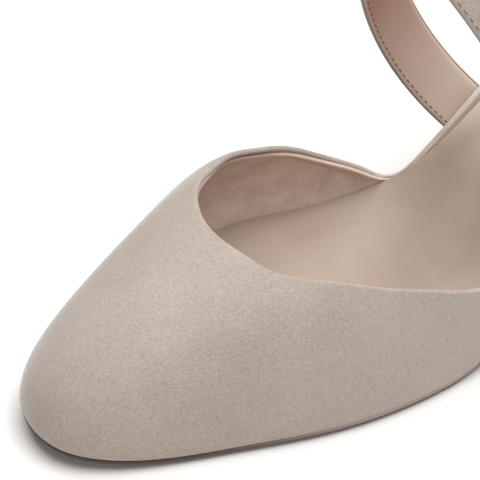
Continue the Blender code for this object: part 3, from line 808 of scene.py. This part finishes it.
def sweepBand(name, run, nodes, squeeze, crownShade):
    # painted shade along the band makes its lining darker toward the crown, where it faces down and away from
    # the light; a painted highlight strip at each edge keeps it paler there
    size = strapPiece
    profile, slots = bandProfile()
    fromEdge = size["width"] / 2 - np.abs([a for a, b in profile])
    inward = smoothStep(fromEdge, size["paleFrom"], size["paleTo"])
    across = size["edgeShadeShare"] + (1 - size["edgeShadeShare"]) * inward
    tone = crownShade[:, None] * across[None, :]
    rings = []
    for narrow, (place, width, out) in zip(squeeze, run):
        rings.append(np.array([place + a * narrow * width + b * out for a, b in profile]))
    buildStack(name, rings, [suede, strapLeather, edgePaint], nodes, "suede", slots,
               smoothAngle=size["smoothAngle"], blend=tone.ravel())


def buildStrap():
    # up the inner leg, over the crown and down the outer leg to the rounded tip
    size = strapPiece
    run = [strapFrame("inner", s) for s in np.linspace(0, 1, size["steps"])]
    turn = np.linspace(1, size["tipEnd"], size["steps"])[1:]
    run += [strapFrame("outer", s, strapLift(s)) for s in turn]
    toTip = np.clip((turn - size["tipEnd"]) / size["tipTaper"], 0, 1)
    toTip = np.concatenate([np.ones(size["steps"]), toTip])
    squeeze = np.sqrt(1 - size["tipNarrow"] * (1 - toTip) ** 2)
    leg = np.minimum(np.arange(len(run)), size["steps"]) / size["steps"]
    # painted shade on the lining: none at the inner leg's sewn end, full from partway up, over the crown and
    # down the outer leg; none on the tab
    crownShade = np.clip((leg - size["crownShadeFrom"]) / (size["crownShadeTo"] - size["crownShadeFrom"]), 0, 1)
    sweepBand("strap_band", run, ["strap"], squeeze, crownShade)
    return run


def buildTab():
    size = strapPiece
    run = [strapFrame("outer", s) for s in np.linspace(0, size["tabTop"], size["tabSteps"])]
    sweepBand("strap_tab_band", run, ["strap_tab"], np.ones(len(run)), np.zeros(len(run)))
    return run


strapRun = buildStrap()
tabRun = buildTab()
print("strap made")


# pieces grown by a node tree
def startTree(name, labels):
    # a tree with one named input for each size, and those inputs' identifiers
    tree = bpy.data.node_groups.new(name, "GeometryNodeTree")
    tree.interface.new_socket("Geometry", in_out="INPUT", socket_type="NodeSocketGeometry")
    named = {}
    for label in labels:
        socket = tree.interface.new_socket(label, in_out="INPUT", socket_type="NodeSocketFloat")
        named[label] = socket.identifier
    tree.interface.new_socket("Geometry", in_out="OUTPUT", socket_type="NodeSocketGeometry")
    return tree, named, addNode(tree, "NodeGroupInput")


def endTree(tree, instances, material):
    real = addNode(tree, "GeometryNodeRealizeInstances", None, {"Geometry": instances})
    smooth = addNode(tree, "GeometryNodeSetShadeSmooth", None, {"Geometry": real.outputs["Geometry"]})
    painted = addNode(tree, "GeometryNodeSetMaterial", None, {
        "Geometry": smooth.outputs["Geometry"], "Material": material})
    addNode(tree, "NodeGroupOutput", None, {"Geometry": painted.outputs["Geometry"]})


def growPiece(name, data, tree, named, size, slotName):
    # the tree's result on this data as a plain mesh; the object it grew on goes
    source = linked(name + "_source", data)
    modifier = source.modifiers.new(tree.name, "NODES")
    modifier.node_group = tree
    for label, identifier in named.items():
        modifier[identifier] = size[label] * mm
    view = bpy.context.evaluated_depsgraph_get()
    mesh = bpy.data.meshes.new_from_object(source.evaluated_get(view))
    source.modifiers.clear()
    bpy.data.objects.remove(source, do_unlink=True)
    piece = linked(name, mesh)
    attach(piece, "root")
    return piece


# stitches: dark thread, one row near the front edge, on both faces
stitchPiece = {
    "pitch": 2.5, "long": 1.7, "thick": 0.36, "inset": 1.5, "sink": 0.06,
    "strapBare": (3, 8), "tabBare": (2, 2),           # steps of the band without stitches at each end
}


def makeStitchTree():
    tree, named, given = startTree("stitchRow", ("pitch", "long", "thick"))
    spots = addNode(tree, "GeometryNodeCurveToPoints", {"mode": "LENGTH"}, {
        "Curve": given.outputs["Geometry"], "Length": given.outputs["pitch"]})
    bead = addNode(tree, "GeometryNodeMeshUVSphere", None, {"Segments": 6, "Rings": 5, "Radius": 0.5})
    size = addNode(tree, "ShaderNodeCombineXYZ", None, {
        "X": given.outputs["thick"], "Y": given.outputs["thick"], "Z": given.outputs["long"]})
    shaped = addNode(tree, "GeometryNodeTransform", None, {
        "Geometry": bead.outputs["Mesh"], "Scale": size.outputs["Vector"]})
    placed = addNode(tree, "GeometryNodeInstanceOnPoints", None, {
        "Points": spots.outputs["Points"], "Instance": shaped.outputs["Geometry"],
        "Rotation": spots.outputs["Rotation"]})
    endTree(tree, placed.outputs["Instances"], thread)
    return tree, named


def buildStitches(name, run, bare, tree, named):
    size = stitchPiece
    across = size["inset"] - strapPiece["width"] / 2
    lie = strapPiece["thick"] / 2 - size["sink"]
    curve = bpy.data.curves.new(name + "_line", "CURVE")
    curve.dimensions = "3D"
    sewn = run[bare[0]:-bare[1]]
    for side in (1, -1):
        spline = curve.splines.new("POLY")
        spline.points.add(len(sewn) - 1)
        for point, (place, width, out) in zip(spline.points, sewn):
            point.co = (*inMetres(place + across * width + side * lie * out), 1)
    growPiece(name, curve, tree, named, size, "suede")


stitchTree = makeStitchTree()
buildStitches("strap_stitches", strapRun, stitchPiece["strapBare"], *stitchTree)
buildStitches("strap_tab_stitches", tabRun, stitchPiece["tabBare"], *stitchTree)
print("stitches made")

# punched holes in the strap's free end: dark plugs whose colour is painted shade for the holes' insides
holePiece = {
    "shares": (0.375, 0.32, 0.265), "radius": 0.8, "long": 0.52, "proud": 0.02, "sides": 24,
    "smoothAngle": 45,
}


def makeHoleTree():
    tree, named, given = startTree("punchedHoles", ("radius", "long"))
    plug = addNode(tree, "GeometryNodeMeshCylinder", None, {
        "Vertices": holePiece["sides"], "Radius": given.outputs["radius"], "Depth": given.outputs["long"]})
    facing = addNode(tree, "GeometryNodeInputNamedAttribute", {"data_type": "FLOAT_VECTOR"}, {
        "Name": "facing"})
    turned = addNode(tree, "FunctionNodeAlignRotationToVector", {"axis": "Z"}, {
        "Vector": facing.outputs["Attribute"]})
    placed = addNode(tree, "GeometryNodeInstanceOnPoints", None, {
        "Points": given.outputs["Geometry"], "Instance": plug.outputs["Mesh"],
        "Rotation": turned.outputs["Rotation"]})
    endTree(tree, placed.outputs["Instances"], holeShade)
    return tree, named


def buildHoles():
    size = holePiece
    middle = strapPiece["thick"] / 2 + size["proud"] - size["long"] / 2
    spots, facing = [], []
    for share in size["shares"]:
        place, _, out = strapFrame("outer", share, strapLift(share))
        spots.append(inMetres(place + middle * out))
        facing += [-out[0], out[1], out[2]]
    mesh = bpy.data.meshes.new("strap_holes_spots")
    mesh.from_pydata(spots, [], [])
    mesh.attributes.new("facing", "FLOAT_VECTOR", "POINT").data.foreach_set("vector", facing)
    piece = growPiece("strap_holes", mesh, *makeHoleTree(), size, "suede")
    piece.data.set_sharp_from_angle(angle=radians(size["smoothAngle"]))
    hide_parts("strap")


buildHoles()
print("holes made")

# buckle: a plain wire frame with one prong, and a keeper for the strap's tip
bucklePiece = {
    "wire": 0.9, "low": 0.385, "high": 0.53, "corner": 2.0, "cornerSteps": 8, "sides": 16,
    "prong": 0.7, "prongTaper": 0.35, "prongHole": 0.4285, "prongTip": 0.55, "prongSteps": 24,
}
keeperPiece = {"place": 0.20, "wide": 5.0, "thick": 1.2, "bevel": 0.35, "bevelSteps": 3}


def wireRing(centre, across, out, radius):
    turn = np.arange(bucklePiece["sides"]) * 2 * pi / bucklePiece["sides"]
    return np.array([centre + radius * (cos(a) * across + sin(a) * out) for a in turn])


def buildFrame():
    # a rectangle of wire with round corners, from the tab's end to above the strap
    size = bucklePiece
    over = strapPiece["thick"] / 2 + shoe["gap"] + size["wire"]
    low, lowWidth, _ = strapFrame("outer", size["low"])
    high, highWidth, highOut = strapFrame("outer", size["high"], strapLift(size["high"]) + over)
    half = strapPiece["width"] / 2 + shoe["gap"] + size["wire"]
    along = high - low
    along = along / np.linalg.norm(along)
    route = []
    for up, side in ((-1, 1), (1, 1), (1, -1), (-1, -1)):
        end, width = (low, lowWidth) if up < 0 else (high, highWidth)
        centre = end + width * side * (half - size["corner"]) - along * up * size["corner"]
        for k in range(size["cornerSteps"] + 1):
            turn = k if up * side < 0 else size["cornerSteps"] - k
            a = turn / size["cornerSteps"] * pi / 2
            route.append(centre + size["corner"] * (width * side * sin(a) + along * up * cos(a)))
    out = np.cross(lowWidth, along)
    out = out if np.dot(out, highOut) > 0 else -out
    rings = []
    for k in range(len(route)):
        ahead = route[(k + 1) % len(route)] - route[k - 1]
        across = np.cross(ahead / np.linalg.norm(ahead), out)
        rings.append(wireRing(route[k], across, out, size["wire"]))
    faces = ringFaces(len(rings), size["sides"], closedStack=True)
    addPiece("buckle_wire", np.concatenate(rings), faces, [paleGold], ["buckle_frame"], "buckle_metal")


def buildProng():
    size = bucklePiece
    lie = strapPiece["thick"] / 2 + shoe["gap"] + size["prong"]
    climb = 2 * size["wire"] + shoe["gap"]
    rings = []
    for s in np.linspace(0, 1, size["prongSteps"]):
        share = size["prongHole"] + (size["prongTip"] - size["prongHole"]) * s
        place, width, out = strapFrame("outer", share, strapLift(share) + lie + climb * s)
        rings.append(wireRing(place, width, out, size["prong"] * (1 - size["prongTaper"] * s)))
    buildStack("buckle_pin", rings, [paleGold], ["buckle_prong"], "buckle_metal")


def buildKeeper():
    size = keeperPiece
    place, width, out = strapFrame("outer", size["place"], strapLift(size["place"]) / 2)
    along = np.cross(width, out)
    halfWide = strapPiece["width"] / 2 + 2 * shoe["gap"]
    halfHigh = strapPiece["thick"] + 4 * shoe["gap"]
    rings = []
    for grow, reach in ((0, -1), (0, 1), (size["thick"], 1), (size["thick"], -1)):
        a, b = halfWide + grow, halfHigh + grow
        start = place + along * reach * size["wide"] / 2
        corners = ((-a, -b), (a, -b), (a, b), (-a, b))
        rings.append(np.array([start + x * width + y * out for x, y in corners]))
    faces = ringFaces(4, 4, closedStack=True)
    piece = addPiece("strap_keeper_loop", np.concatenate(rings), faces, [suede], ["strap_keeper"], "suede")
    bevel = piece.modifiers.new("rounded", "BEVEL")
    bevel.width = size["bevel"] * mm
    bevel.segments = size["bevelSteps"]


buildFrame()
buildProng()
buildKeeper()
print("buckle and keeper made")

# camera: three-quarter view of the toe from the outer side, as in the photograph
cameraSpot = {
    "target": (57.88, -2.04, 15.0), "back": (0.3757, 0.6455, 0.665), "distance": 983.0,     # mm
    "focal": 3927.7, "centre": (230.99, 303.78), "image": 480,     # pixels; centre is where the target falls
    "sensor": 36.0, "clip": (0.05, 20.0),
}


def buildCamera():
    spot = cameraSpot
    back = Vector(spot["back"]).normalized()
    right = (-back).cross(Vector((0, 0, 1))).normalized()
    up = right.cross(-back)
    middle = spot["image"] / 2
    aside = right * (middle - spot["centre"][0]) / spot["focal"]
    above = up * (spot["centre"][1] - middle) / spot["focal"]
    data = bpy.data.cameras.new("camera")
    data.sensor_width = spot["sensor"]
    data.lens = spot["focal"] / spot["image"] * spot["sensor"]
    data.clip_start, data.clip_end = spot["clip"]
    camera = linked("camera", data)
    camera.location = (Vector(spot["target"]) + back * spot["distance"]) * mm
    camera.rotation_euler = (-back + aside + above).to_track_quat("-Z", "Y").to_euler()
    bpy.context.scene.camera = camera


# studio: a white paper floor that glows a little and three softboxes, all of them high; metres and watts
studio = {
    "floorHalf": 4.0, "floorLevel": -0.0002, "floor": "f0eeec", "glow": 0.1, "glowTint": "fffaf5",
    "sky": 0.01, "aim": (0.03, 0.0, 0.03),
    "softboxes": {
        "overhead": {"at": (-0.05, -0.4, 1.3), "size": 1.2, "power": 11.8},
        "front": {"at": (0.12, 0.45, 1.3), "size": 0.9, "power": 12.6},
        "heel": {"at": (-0.45, 0.35, 1.15), "size": 0.7, "power": 4.5},
    },
}


def buildFloor():
    half, low = studio["floorHalf"], studio["floorLevel"]
    mesh = bpy.data.meshes.new("floor")
    corners = [(-half, -half, low), (half, -half, low), (half, half, low), (-half, half, low)]
    mesh.from_pydata(corners, [], [(0, 1, 2, 3)])
    material, _, surface, _ = startMaterial("paperFloor")
    setSockets(surface, {
        "Base Color": srgb(studio["floor"]), "Roughness": 0.9, "Specular IOR Level": 0.1,
        "Emission Color": srgb(studio["glowTint"]), "Emission Strength": studio["glow"]})
    mesh.materials.append(material)
    linked("floor", mesh)


def buildLights():
    world = bpy.context.scene.world or bpy.data.worlds.new("studio")
    bpy.context.scene.world = world
    world.use_nodes = True
    sky = world.node_tree.nodes["Background"]
    sky.inputs["Color"].default_value = (1, 1, 1, 1)
    sky.inputs["Strength"].default_value = studio["sky"]
    for name, box in studio["softboxes"].items():
        light = bpy.data.lights.new(name, "AREA")
        light.shape, light.size, light.energy = "SQUARE", box["size"], box["power"]
        lamp = linked(name, light)
        lamp.location = box["at"]
        lamp.rotation_euler = (Vector(studio["aim"]) - lamp.location).to_track_quat("-Z", "Y").to_euler()
    bpy.context.scene.view_settings.view_transform = "Standard"


buildCamera()
buildFloor()
buildLights()
print("camera and studio made")
